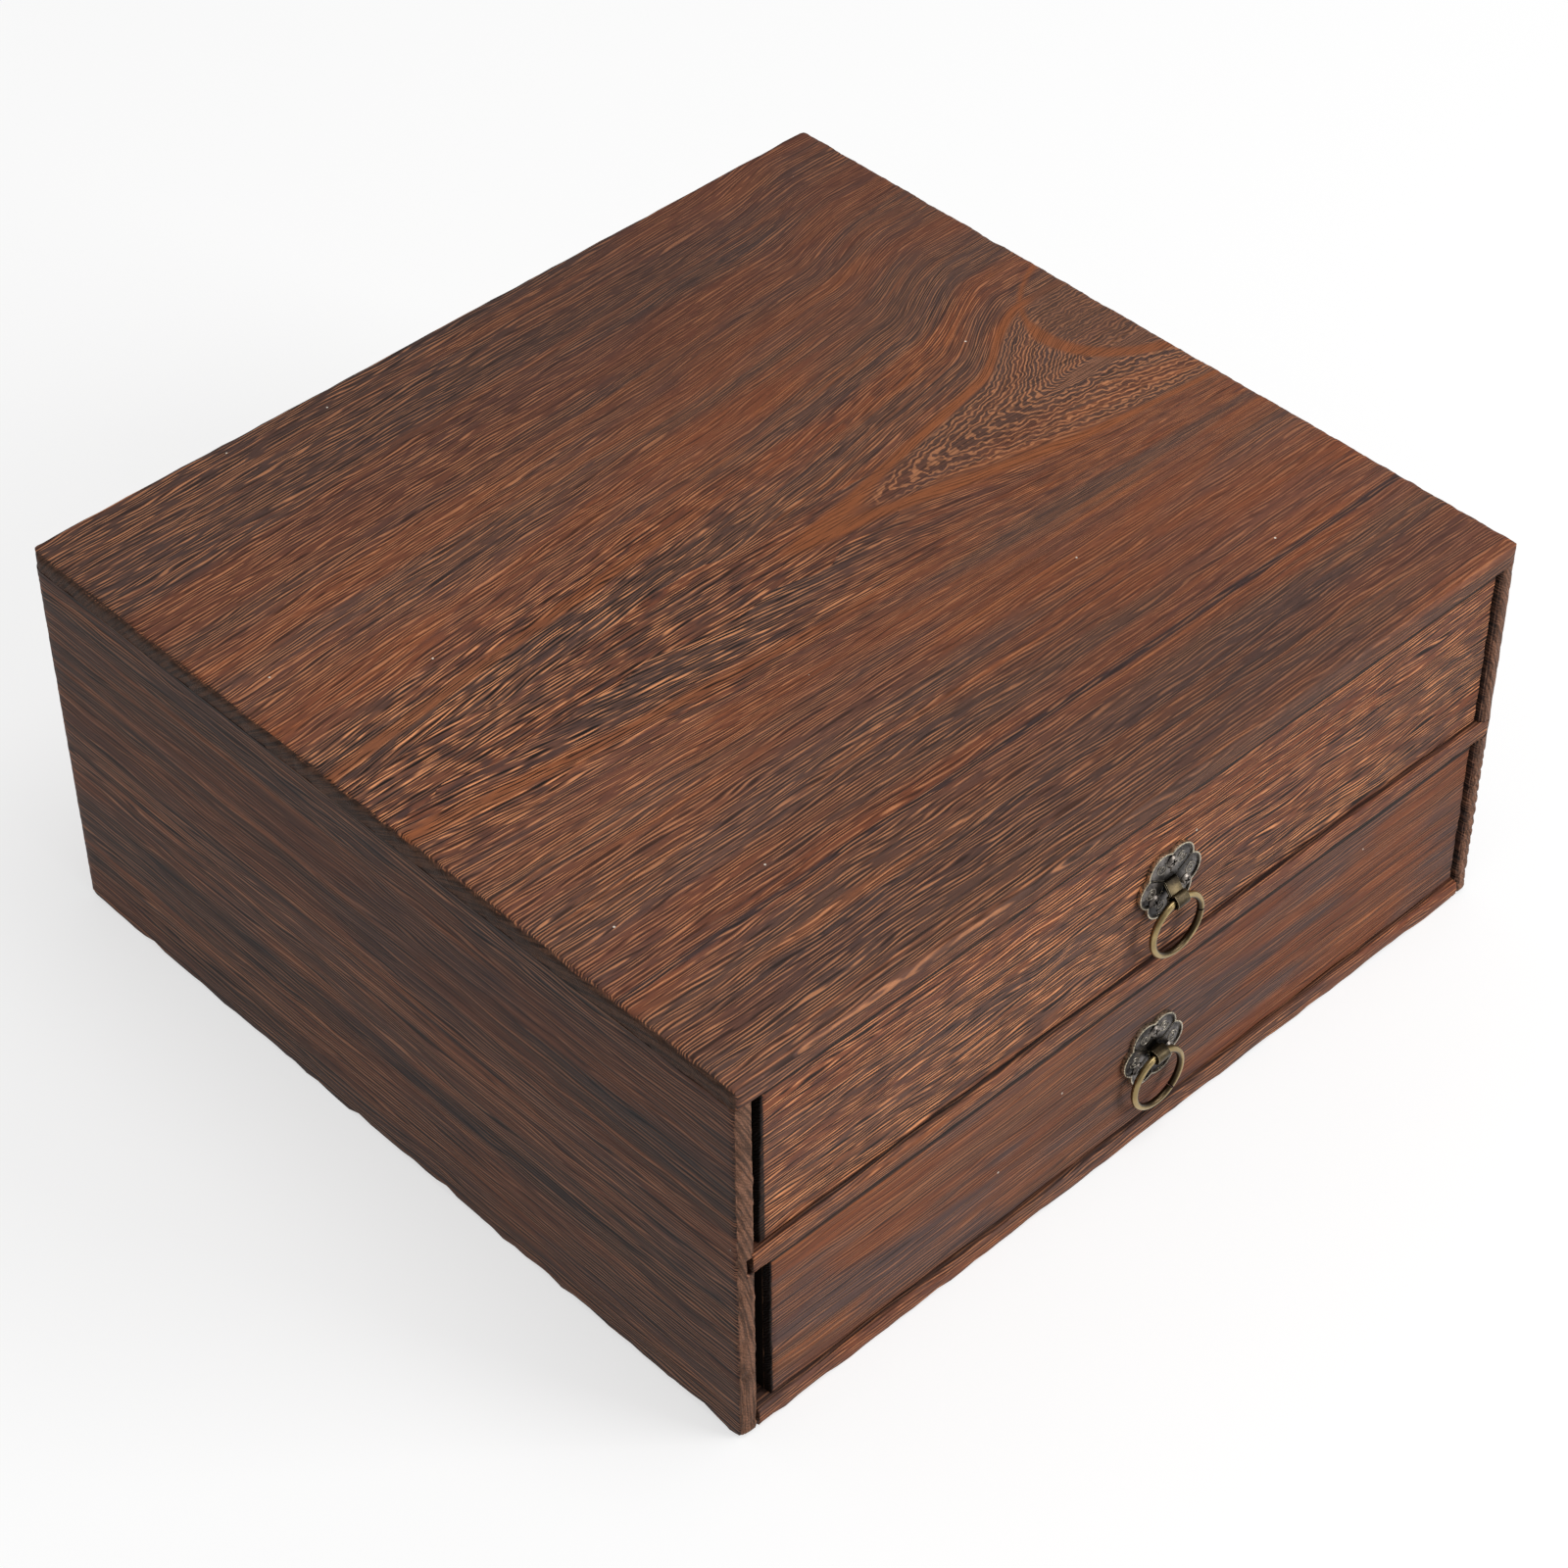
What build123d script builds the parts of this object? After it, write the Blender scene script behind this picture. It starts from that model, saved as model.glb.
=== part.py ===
# A desktop storage box of brushed, darkened wood with two drawers, one above the other.
# Each drawer front carries a flower-shaped brass plate with a swinging ring pull.
# Millimetres. The origin is the middle of the underside, +Z is up, and the drawers open towards -Y.
import math
import os

from build123d import *

os.makedirs("parts", exist_ok=True)

# Case boards
case_width = 250.0
case_depth = 240.0
top_thick = 5.0
side_thick = 5.5
bottom_thick = 5.5
shelf_thick = 5.5
back_thick = 5.5
lower_bay = 47.0  # clear height for the lower drawer
upper_bay = 48.0  # clear height for the upper drawer
dado_depth = 2.75  # how far the shelf's ends could go into the side boards
shelf_short = 1.65  # the shelf was cut short and stops this far from the bottom of its left dado
edge_round = 0.8  # worn arrises
foot_round = 1.6  # lower front and back corners of the side boards
mouth_round = 1.3  # front arris of the side boards on the drawers' side

# Dowels that hold the case boards
dowel_radius = 1.25
dowel_in_face = 3.0  # depth in a board's broad face
dowel_in_end = 9.0  # depth in a board's edge
dowel_clearance = 0.05
dowel_glue_space = 0.25
dowel_end_margin = 30.0  # from the case's front or back face to the nearest dowel
dowel_back_margin = 25.0  # from the back panel's top or bottom edge to its dowel
peg_sides = 8  # dowels, screw shanks and their holes are drawn with this many sides

# Drawer boards
front_thick = 6.0
wall_thick = 5.0
drawer_back_thick = 5.0
panel_thick = 3.0
panel_lift = 3.0  # underside of the bottom panel above the drawer's lowest edge
panel_groove = 2.5
panel_play = 0.2
rebate_depth = 3.5  # of the rebates in the front that take the walls
back_rebate = 2.0  # of the rebates in the walls that take the back
wall_drop = 2.0  # the walls are this much lower than the front
front_recess = 1.6  # the fronts sit this far behind the case's front
front_round = 0.7
under_gap = 0.2
over_gap = 0.3
rear_gap = 0.3
right_gap = 0.3
upper_left_gap = 3.3
lower_left_gap = 5.1

# Ring pulls
petal_count = 6
petal_circle = 5.4  # radius of the circle that the petals' centres lie on
petal_radius = 4.6
plate_thick = 0.8
rim_width = 0.6
rim_height = 0.35
rib_width = 0.5
rib_inner = 2.9  # radius where the ribs start
plate_hub = 3.0
screw_count = 3
screw_circle = 5.9
screw_start = 90.0  # degrees, the first screw is above the plate's middle
screw_head_radius = 1.75
screw_head_height = 0.9
screw_head_edge = 0.35  # height of the head's straight side
head_sides = 24
screw_shank_radius = 0.8
screw_length = 5.0
screw_clearance = 0.05
cross_width = 0.45
cross_length = 2.0
cross_depth = 0.45
strap_width = 3.8
strap_thick = 0.5
strap_seam = 0.1  # between the strap's two halves
strap_leg = 7.0  # length of each leg folded over inside the drawer
strap_slot_play = 0.2
strap_bend = 0.3  # bend radius at the middle of the strip
strap_straight = 0.2  # from the plate's face to where the neck bends down
eye_radius = 1.5  # from the ring's pivot to the middle of the strip
eye_near_bend = 0.7
eye_far_bend = 1.4
ring_radius = 7.9
wire_radius = 0.88
wire_sides = 10  # the wire is drawn with this many sides
seam_gap = 0.15  # where the ring's two ends meet

# Where each pull sits and how its strap is bent
upper_pull_x = 7.4
upper_pull_z = 81.2
upper_eye_out = 3.1  # from the plate's face to the ring's pivot
upper_eye_drop = 3.8  # from the plate's centre to the ring's pivot
upper_seam_angle = 0.0
lower_pull_x = 6.3
lower_pull_z = 27.8
lower_eye_out = 2.2
lower_eye_drop = 0.3
lower_seam_angle = -52.0

# Planes of the case
lower_bay_z = bottom_thick
shelf_z = lower_bay_z + lower_bay
upper_bay_z = shelf_z + shelf_thick
top_z = upper_bay_z + upper_bay
case_height = top_z + top_thick
half_width = case_width / 2
half_depth = case_depth / 2
inner_half = half_width - side_thick
back_y = half_depth - back_thick

# Planes that both drawers share
drawer_right = inner_half - right_gap
front_y = -half_depth + front_recess
front_back_y = front_y + front_thick
wall_front_y = front_back_y - rebate_depth
drawer_rear_y = back_y - rear_gap
drawer_back_y = drawer_rear_y - drawer_back_thick

# Dowel places
dowel_rows = [-half_depth + dowel_end_margin, half_depth - dowel_end_margin]
dowel_heights = [dowel_back_margin, top_z - dowel_back_margin]
side_middle = half_width - side_thick / 2
bottom_middle = bottom_thick / 2
back_middle = half_depth - back_thick / 2
dowel_hole = dowel_radius + dowel_clearance
end_hole = dowel_in_end + dowel_glue_space
face_hole = dowel_in_face + dowel_glue_space

# Shared sizes of the pulls
slot_height = 2 * strap_thick + strap_seam + 2 * strap_slot_play
slot_width = strap_width + 2 * strap_slot_play
half_petal = math.pi / petal_count
half_spacing = petal_circle * math.sin(half_petal)
notch_radius = petal_circle * math.cos(half_petal) + math.sqrt(petal_radius**2 - half_spacing**2)
rib_outer = notch_radius - rim_width


def finish(part, label):
    part.part.label = label
    export_step(part.part, f"parts/{label}.step")


def block(x_range, y_range, z_range, mode=Mode.ADD):
    """A rectangular block between two limits on each axis."""
    limits = (x_range, y_range, z_range)
    with Locations(tuple(sum(limit) / 2 for limit in limits)):
        Box(*(limit[1] - limit[0] for limit in limits), mode=mode)


# Top board, over the edges of the side boards
with BuildPart() as case_top:
    block((-half_width, half_width), (-half_depth, half_depth), (top_z, case_height))
    upper_face = case_top.faces().sort_by(Axis.Z)[-1]
    fillet(upper_face.edges() + case_top.edges().filter_by(Axis.Z), radius=edge_round)
    with BuildSketch(Plane.XY.offset(top_z)):
        with Locations([(side * side_middle, y) for side in (-1, 1) for y in dowel_rows]):
            RegularPolygon(dowel_hole, peg_sides)
    extrude(amount=face_hole, mode=Mode.SUBTRACT)
finish(case_top, "case_top")


# Side boards, from the floor to the top board, with a dado for the shelf
def make_side(label, side):
    outer_x = side * half_width
    with BuildPart() as board:
        with BuildSketch(Plane.YZ.offset(outer_x)) as outline:
            with Locations((0, top_z / 2)):
                Rectangle(case_depth, top_z)
            fillet(outline.vertices().group_by(Axis.Y)[0], radius=foot_round)
        extrude(amount=-side * side_thick)
        outer_face = board.faces().sort_by(Axis.X)[-1 if side > 0 else 0]
        joint_edge = outer_face.edges().sort_by(Axis.Z)[-1]
        fillet(outer_face.edges() - [joint_edge], radius=edge_round)
        inner_face = board.faces().sort_by(Axis.X)[0 if side > 0 else -1]
        mouth_edge = inner_face.edges().filter_by(Axis.Z).sort_by(Axis.Y)[0]
        fillet(mouth_edge, radius=mouth_round)
        dado_x = sorted((side * inner_half, side * (inner_half + dado_depth)))
        block(dado_x, (-half_depth, back_y), (shelf_z, upper_bay_z), mode=Mode.SUBTRACT)
        with BuildSketch(Plane.XY.offset(top_z)):
            with Locations([(side * side_middle, y) for y in dowel_rows]):
                RegularPolygon(dowel_hole, peg_sides)
        extrude(amount=-end_hole, mode=Mode.SUBTRACT)
        with BuildSketch(Plane.YZ.offset(side * inner_half)):
            with Locations([(y, bottom_middle) for y in dowel_rows]):
                RegularPolygon(dowel_hole, peg_sides)
            with Locations([(back_middle, z) for z in dowel_heights]):
                RegularPolygon(dowel_hole, peg_sides)
        extrude(amount=side * face_hole, mode=Mode.SUBTRACT)
    finish(board, label)


make_side("case_left_side", -1)
make_side("case_right_side", 1)

# Bottom board, between the side boards and in front of the back panel
with BuildPart() as case_bottom:
    block((-inner_half, inner_half), (-half_depth, back_y), (0, bottom_thick))
    front_edges = case_bottom.edges().filter_by(Axis.X).group_by(Axis.Y)[0]
    fillet(front_edges, radius=edge_round)
    for side in (-1, 1):
        with BuildSketch(Plane.YZ.offset(side * inner_half)):
            with Locations([(y, bottom_middle) for y in dowel_rows]):
                RegularPolygon(dowel_hole, peg_sides)
        extrude(amount=-side * end_hole, mode=Mode.SUBTRACT)
finish(case_bottom, "case_bottom")

# Shelf between the drawers, seated in the right dado and short of the left one
with BuildPart() as shelf:
    shelf_left = -inner_half - dado_depth + shelf_short
    shelf_right = inner_half + dado_depth
    block((shelf_left, shelf_right), (-half_depth, back_y), (shelf_z, upper_bay_z))
    shelf_front = shelf.edges().filter_by(Axis.X).group_by(Axis.Y)[0]
    fillet(shelf_front, radius=edge_round)
finish(shelf, "shelf")

# Back panel, between the side boards and under the top board
with BuildPart() as back_panel:
    block((-inner_half, inner_half), (back_y, half_depth), (0, top_z))
    for side in (-1, 1):
        with BuildSketch(Plane.YZ.offset(side * inner_half)):
            with Locations([(back_middle, z) for z in dowel_heights]):
                RegularPolygon(dowel_hole, peg_sides)
        extrude(amount=-side * end_hole, mode=Mode.SUBTRACT)
finish(back_panel, "back_panel")

# Dowels of the case, hidden in its joints
with BuildPart() as case_dowels:
    with BuildSketch(Plane.XY.offset(top_z - dowel_in_end)):
        with Locations([(side * side_middle, y) for side in (-1, 1) for y in dowel_rows]):
            RegularPolygon(dowel_radius, peg_sides)
    extrude(amount=dowel_in_end + dowel_in_face)
    for side in (-1, 1):
        with BuildSketch(Plane.YZ.offset(side * (inner_half - dowel_in_end))):
            with Locations([(y, bottom_middle) for y in dowel_rows]):
                RegularPolygon(dowel_radius, peg_sides)
            with Locations([(back_middle, z) for z in dowel_heights]):
                RegularPolygon(dowel_radius, peg_sides)
        extrude(amount=side * (dowel_in_end + dowel_in_face))
finish(case_dowels, "case_dowels")


def screw_places():
    return PolarLocations(screw_circle, screw_count, start_angle=screw_start)


# Five boards of one drawer
def make_drawer_boards(name, bay_z, bay_height, left_gap, pull_x, pull_z):
    left_x = -inner_half + left_gap
    low_z = bay_z + under_gap
    high_z = bay_z + bay_height - over_gap
    wall_top = high_z - wall_drop
    panel_z = low_z + panel_lift
    panel_top = panel_z + panel_thick
    inner_left = left_x + wall_thick
    inner_right = drawer_right - wall_thick
    groove_x = (inner_left - panel_groove, inner_right + panel_groove)

    with BuildPart() as front:
        block((left_x, drawer_right), (front_y, front_back_y), (low_z, high_z))
        face_edges = front.faces().sort_by(Axis.Y)[0].edges()
        fillet(face_edges, radius=front_round)
        for ends in ((left_x, inner_left), (inner_right, drawer_right)):
            block(ends, (wall_front_y, front_back_y), (low_z, wall_top), mode=Mode.SUBTRACT)
        groove_y = (front_back_y - panel_groove, front_back_y)
        block(groove_x, groove_y, (panel_z, panel_top), mode=Mode.SUBTRACT)
        with BuildSketch(Plane.XZ.offset(-front_y)):
            with Locations((pull_x, pull_z)):
                Rectangle(slot_width, slot_height)
        extrude(amount=-front_thick, mode=Mode.SUBTRACT)
        with BuildSketch(Plane.XZ.offset(-front_y)):
            with Locations((pull_x, pull_z)):
                with screw_places():
                    RegularPolygon(screw_shank_radius + screw_clearance, peg_sides)
        extrude(amount=-(screw_length - plate_thick + screw_clearance), mode=Mode.SUBTRACT)
    finish(front, f"{name}_drawer_front")

    walls = (("left", left_x, inner_left), ("right", drawer_right, inner_right))
    for hand, outer_x, inner_x in walls:
        away = math.copysign(1, outer_x - inner_x)
        with BuildPart() as wall:
            block(sorted((outer_x, inner_x)), (wall_front_y, drawer_rear_y), (low_z, wall_top))
            wall_groove = sorted((inner_x, inner_x + away * panel_groove))
            along_wall = (wall_front_y, drawer_rear_y)
            block(wall_groove, along_wall, (panel_z, panel_top), mode=Mode.SUBTRACT)
            wall_rebate = sorted((inner_x, inner_x + away * back_rebate))
            rebate_y = (drawer_back_y, drawer_rear_y)
            block(wall_rebate, rebate_y, (panel_top, wall_top), mode=Mode.SUBTRACT)
        finish(wall, f"{name}_drawer_{hand}_wall")

    with BuildPart() as back:
        back_x = (inner_left - back_rebate, inner_right + back_rebate)
        block(back_x, (drawer_back_y, drawer_rear_y), (panel_top, wall_top))
    finish(back, f"{name}_drawer_back")

    with BuildPart() as panel:
        panel_x = (groove_x[0] + panel_play, groove_x[1] - panel_play)
        panel_y = (front_back_y - panel_groove + panel_play, drawer_rear_y)
        block(panel_x, panel_y, (panel_z, panel_top))
    finish(panel, f"{name}_drawer_bottom")


# One ring pull: plate, folded strap, ring and screws
def flower(radius, mode=Mode.ADD):
    with PolarLocations(petal_circle, petal_count):
        Circle(radius, mode=mode)
    Circle(plate_hub, mode=mode)


def strap_line(pull_z, eye_y, eye_z):
    """Middle line of the folded strip, seen from the side: one leg, round the eye, the other leg."""
    slot_y = front_y - plate_thick - strap_straight
    leg_y = front_back_y + strap_thick / 2
    slope = math.atan2(pull_z - eye_z, slot_y - eye_y)
    lift = (strap_thick + strap_seam) / 2
    along = Vector(-math.cos(slope), -math.sin(slope))
    across = Vector(-math.sin(slope), math.cos(slope))
    slot = Vector(slot_y, pull_z)
    eye = Vector(eye_y, eye_z)
    half = []
    for turn in (1, -1):
        half.append(
            [
                Vector(leg_y, pull_z + turn * strap_leg),
                Vector(leg_y, pull_z + turn * lift),
                slot + Vector(-math.tan(slope / 2), 1) * (turn * lift),
                eye - along * eye_radius + across * (turn * lift),
                eye - along * eye_radius + across * (turn * eye_radius),
                eye + along * eye_radius + across * (turn * eye_radius),
            ]
        )
    bends = [strap_bend, strap_bend, strap_bend, eye_near_bend, eye_far_bend]
    return half[0] + half[1][::-1], bends + bends[::-1]


def make_pull(name, pull_x, pull_z, eye_out, eye_drop, seam_angle):
    face_plane = Plane.XZ.offset(-front_y)
    eye_y = front_y - plate_thick - eye_out
    eye_z = pull_z - eye_drop

    with BuildPart() as plate:
        with BuildSketch(face_plane):
            with Locations((pull_x, pull_z)):
                flower(petal_radius)
        extrude(amount=plate_thick)
        with BuildSketch(face_plane.offset(plate_thick)):
            with Locations((pull_x, pull_z)):
                flower(petal_radius)
                flower(petal_radius - rim_width, mode=Mode.SUBTRACT)
                rib_middle = (rib_inner + rib_outer) / 2
                with PolarLocations(rib_middle, petal_count, start_angle=math.degrees(half_petal)):
                    Rectangle(rib_outer - rib_inner, rib_width)
                with screw_places():
                    RegularPolygon(screw_head_radius + screw_clearance, head_sides, mode=Mode.SUBTRACT)
        extrude(amount=rim_height)
        with BuildSketch(face_plane):
            with Locations((pull_x, pull_z)):
                Rectangle(slot_width, slot_height)
                with screw_places():
                    RegularPolygon(screw_shank_radius + screw_clearance, peg_sides)
        extrude(amount=plate_thick, mode=Mode.SUBTRACT)
    finish(plate, f"{name}_pull_plate")

    points, bends = strap_line(pull_z, eye_y, eye_z)
    with BuildPart() as strap:
        with BuildSketch(Plane.YZ.offset(pull_x)):
            with BuildLine():
                FilletPolyline(*points, radius=bends)
            trace(line_width=strap_thick)
        extrude(amount=strap_width / 2, both=True)
    finish(strap, f"{name}_pull_strap")

    ring_centre = Vector(pull_x, eye_y, eye_z - ring_radius)
    seam = math.radians(seam_angle)
    seam_out = Vector(math.cos(seam), 0, math.sin(seam))
    with BuildPart() as ring:
        with BuildSketch(Plane(ring_centre, x_dir=seam_out, z_dir=seam_out.cross(Vector(0, 1, 0)))):
            with Locations((ring_radius, 0)):
                RegularPolygon(wire_radius, wire_sides, rotation=180 / wire_sides)
        closed = 360.0 - math.degrees(seam_gap / ring_radius)
        revolve(axis=Axis(ring_centre, (0, 1, 0)), revolution_arc=closed)
    finish(ring, f"{name}_pull_ring")

    with BuildPart() as screws:
        head_plane = face_plane.offset(plate_thick)
        with BuildSketch(head_plane):
            with Locations((pull_x, pull_z)):
                with screw_places():
                    RegularPolygon(screw_shank_radius, peg_sides)
        extrude(amount=-screw_length)
        with BuildSketch(head_plane):
            with Locations((pull_x, pull_z)):
                with screw_places():
                    RegularPolygon(screw_head_radius, head_sides)
        extrude(amount=screw_head_height)
        head_tops = screws.faces().group_by(Axis.Y)[0]
        chamfer(head_tops.edges(), length=screw_head_height - screw_head_edge)
        with BuildSketch(head_plane.offset(screw_head_height)):
            with Locations((pull_x, pull_z)):
                with screw_places():
                    Rectangle(cross_length, cross_width)
                    Rectangle(cross_width, cross_length)
        extrude(amount=-cross_depth, mode=Mode.SUBTRACT)
    finish(screws, f"{name}_pull_screws")


make_drawer_boards("upper", upper_bay_z, upper_bay, upper_left_gap, upper_pull_x, upper_pull_z)
make_drawer_boards("lower", lower_bay_z, lower_bay, lower_left_gap, lower_pull_x, lower_pull_z)
make_pull("upper", upper_pull_x, upper_pull_z, upper_eye_out, upper_eye_drop, upper_seam_angle)
make_pull("lower", lower_pull_x, lower_pull_z, lower_eye_out, lower_eye_drop, lower_seam_angle)
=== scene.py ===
import bmesh
import bpy
import math
from mathutils import Matrix, Vector, noise


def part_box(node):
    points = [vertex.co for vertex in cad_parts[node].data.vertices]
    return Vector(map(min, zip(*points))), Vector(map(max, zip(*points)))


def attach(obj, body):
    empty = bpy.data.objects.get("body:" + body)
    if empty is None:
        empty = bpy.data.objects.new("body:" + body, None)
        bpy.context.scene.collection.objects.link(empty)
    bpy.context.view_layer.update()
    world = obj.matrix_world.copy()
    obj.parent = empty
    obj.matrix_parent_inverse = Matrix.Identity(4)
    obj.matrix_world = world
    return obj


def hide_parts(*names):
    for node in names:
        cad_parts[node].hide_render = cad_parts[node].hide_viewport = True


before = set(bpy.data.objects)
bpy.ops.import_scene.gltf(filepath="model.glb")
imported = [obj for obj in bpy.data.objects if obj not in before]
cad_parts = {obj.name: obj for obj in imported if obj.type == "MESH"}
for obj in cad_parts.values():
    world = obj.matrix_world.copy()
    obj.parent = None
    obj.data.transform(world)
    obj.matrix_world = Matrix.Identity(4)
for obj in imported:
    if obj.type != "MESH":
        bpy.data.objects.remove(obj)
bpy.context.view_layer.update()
mm = 0.001
print("frame loaded:", len(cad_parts), "nodes")


# Node helpers
def shade(red, green, blue):  # a colour given in screen values, as the linear one that nodes take
    channels = [c / 255 for c in (red, green, blue)]
    linear = [c / 12.92 if c <= 0.04045 else ((c + 0.055) / 1.055) ** 2.4 for c in channels]
    return (*linear, 1.0)


class Wire:  # a value in a node tree, so that a pattern can be written as sums
    def __init__(self, tree, socket):
        self.tree = tree
        self.socket = socket

    def maths(self, operation, *others):
        inputs = dict(enumerate((self, *others)))
        return Wire(self.tree, addNode(self.tree, "Math", inputs, operation=operation).outputs[0])

    def __add__(self, other):
        return self.maths("ADD", other)

    def __sub__(self, other):
        return self.maths("SUBTRACT", other)

    def __rsub__(self, other):
        return self.maths("MULTIPLY", -1.0).maths("ADD", other)

    def __mul__(self, other):
        return self.maths("MULTIPLY", other)

    def __truediv__(self, other):
        return self.maths("MULTIPLY", 1 / other)

    def __abs__(self):
        return self.maths("ABSOLUTE")

    __radd__ = __add__
    __rmul__ = __mul__


def addNode(tree, kind, inputs=None, **settings):
    node = tree.nodes.new("ShaderNode" + kind)
    for key, value in settings.items():
        setattr(node, key, value)
    for key, value in (inputs or {}).items():
        if isinstance(value, Wire):
            tree.links.new(value.socket, node.inputs[key])
        elif isinstance(value, bpy.types.NodeSocket):
            tree.links.new(value, node.inputs[key])
        else:
            node.inputs[key].default_value = value
    return node


def newMaterial(name):
    material = bpy.data.materials.new(name)
    material.use_nodes = True
    material.node_tree.nodes.clear()
    return material, material.node_tree


def coordinates(tree, kind):  # the three parts of the place or the normal
    place = addNode(tree, "TexCoord").outputs[kind]
    parts = addNode(tree, "SeparateXYZ", {0: place}).outputs
    return [Wire(tree, parts[i]) for i in range(3)]


def addObject(name, data):
    thing = bpy.data.objects.new(name, data)
    bpy.context.scene.collection.objects.link(thing)
    return thing


# These take a plain number or a wire
def smooth(value, low, high):
    if isinstance(value, Wire):
        inputs = {"Value": value, "From Min": low, "From Max": high}
        node = addNode(value.tree, "MapRange", inputs, interpolation_type="SMOOTHSTEP")
        return Wire(value.tree, node.outputs["Result"])
    share = min(max((value - low) / (high - low), 0.0), 1.0)
    return share * share * (3 - 2 * share)


def root(value):
    return value.maths("SQRT") if isinstance(value, Wire) else math.sqrt(value)


def atLeast(value, limit):
    return value.maths("MAXIMUM", limit) if isinstance(value, Wire) else max(value, limit)


def atMost(value, limit):
    return value.maths("MINIMUM", limit) if isinstance(value, Wire) else min(value, limit)


def ridge(value, middle, width):  # 1 at the middle, 0 at the width to both sides
    return 1 - smooth(abs(value - middle), width * 0.35, width)


def noiseAt(x, y, z, detail=2.0, rough=0.5):
    tree = x.tree
    point = addNode(tree, "CombineXYZ", {0: x, 1: y, 2: z}).outputs[0]
    inputs = {"Vector": point, "Scale": 1.0, "Detail": detail, "Roughness": rough}
    return Wire(tree, addNode(tree, "TexNoise", inputs).outputs["Fac"])


def blend(factor, first, second):
    inputs = {0: factor, 6: first, 7: second}
    return addNode(factor.tree, "Mix", inputs, data_type="RGBA", blend_type="MIX").outputs[2]


def darken(colour, tone):
    grey = addNode(tone.tree, "CombineColor", {0: tone, 1: tone, 2: tone}).outputs[0]
    inputs = {0: 1.0, 6: colour, 7: grey}
    return addNode(tone.tree, "Mix", inputs, data_type="RGBA", blend_type="MULTIPLY").outputs[2]


# Wood: lengths are in mm
woodTones = {
    "charred": shade(54, 44, 45),
    "greyBrown": shade(98, 68, 55),
    "redBrown": shade(126, 71, 46),
    "lightBrown": shade(142, 86, 56),
    "amber": shade(156, 89, 48),
    "tan": shade(232, 156, 106),
    # painted shade for gaps, recesses and the overhang, with scorch on the edges
    "scorchAndShade": shade(22, 15, 13),
    "smoky": shade(82, 66, 64),
    "endGrain": shade(100, 70, 54),
    "dust": shade(228, 218, 204),
}
grainNoises = {  # length along the grain, width across it, seed, detail and roughness
    "zones": (150, 22, 1.7, 2.0, 0.5),
    "bands": (300, 2.4, 5.3, 3.0, 0.6),
    "clusters": (42, 9, 9.1, 2.0, 0.5),
    "mottle": (7.5, 1.9, 13.7, 1.0, 0.5),
    "lines": (60, 0.7, 17.9, 2.0, 0.6),
    "fibres": (2.2, 0.28, 27.7, 1.0, 0.5),
    "smoke": (46, 13, 31.3, 2.0, 0.5),
}
grainShows = {  # the value of its noise where each pattern starts to show, and where it is in full
    "zones": (0.38, 0.62),
    "bands": (0.46, 0.7),
    "amber": (0.78, 0.95),
    "smoke": (0.42, 0.62),
    "patches": (0.36, 0.6),
    "mottle": (0.46, 0.64),
    "clear": (0.42, 0.58),  # where bright threads start to fade, and where they have faded
    "darkLines": (0.3, 0.42),
    "strands": (0.33, 0.58),
    "bright": (0.55, 0.95),
    "grooves": (0.08, 0.5),  # the other way round: in full, and gone
    "arcs": (0.38, 0.62),
}
shadeAndScorchLook = {
    "ledgeStart": (0.8, 1.4),  # from a ledge's front edge
    "ledgeEnd": (6, 10),
    "facingUp": (0.4, 0.7),
    "facingIn": (0.6, 0.9),
    # darkness painted on the faces towards the drawers, as shade in the gap
    "insideShade": 0.9,
    "jag": 0.4,
    "fullShare": {"high": 0.8, "low": 0.5, "end": 0.4},  # share of the scorched width that is in full
}
endGrainLook = {
    "arcRadius": 60,
    "arcRise": 9,
    "arcPitch": 0.7,
    "arcLength": 11,
    "poreWidth": 0.4,
    "poreHeight": 0.3,
    "facing": (0.55, 0.85),
}
dustLook = {"perMm": 0.055, "size": 0.016, "strength": 0.85}
topFigure = {  # from the top board's front left corner
    "middle": 116.0,
    "tip": 150.0,
    "tipRound": 3.0,
    "earlyTaper": 0.12,
    "lowTaper": 0.225,
    "highTaper": 0.25,
    "highEnd": 82.0,
    "bulge": 17.0,
    "bulgeRange": (203.0, 234.0),
    "lowFade": (-48.0, -16.0),
    "highFade": 0.0074,
    "highShares": (0.98, 0.78),  # at the middle, and how much of it can fade
    "turnOver": 3.0,
    "straightHalf": 8.0,  # the threads run straight this far to both sides of the middle
    "straightJag": 14,
    "straightShift": 60,
    "armInner": -18.0,
    "armWidth": 4.2,
    "armStart": (112, 128),
    "outerBand": 10.6,
    "outerWidth": 2.6,
    "outerEnd": (90, 150),
    "loopPlace": (262.0, 132.0),
    "loopSize": (33.5, 24.7),
    "loopBand": 0.1,
    "loopThin": (132, 142),
    "heart": (0.85, 1.0),
    "curlStart": (146, 156),
    "curlPitch": 1.5,
    "frontLine": 77.3,
    "frontHalf": (70, 80),
    "frontZone": (17, 9),  # its middle, and its reach to both sides
    "backZone": (150, 212),
    "busyRings": (13, 24),
}


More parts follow.
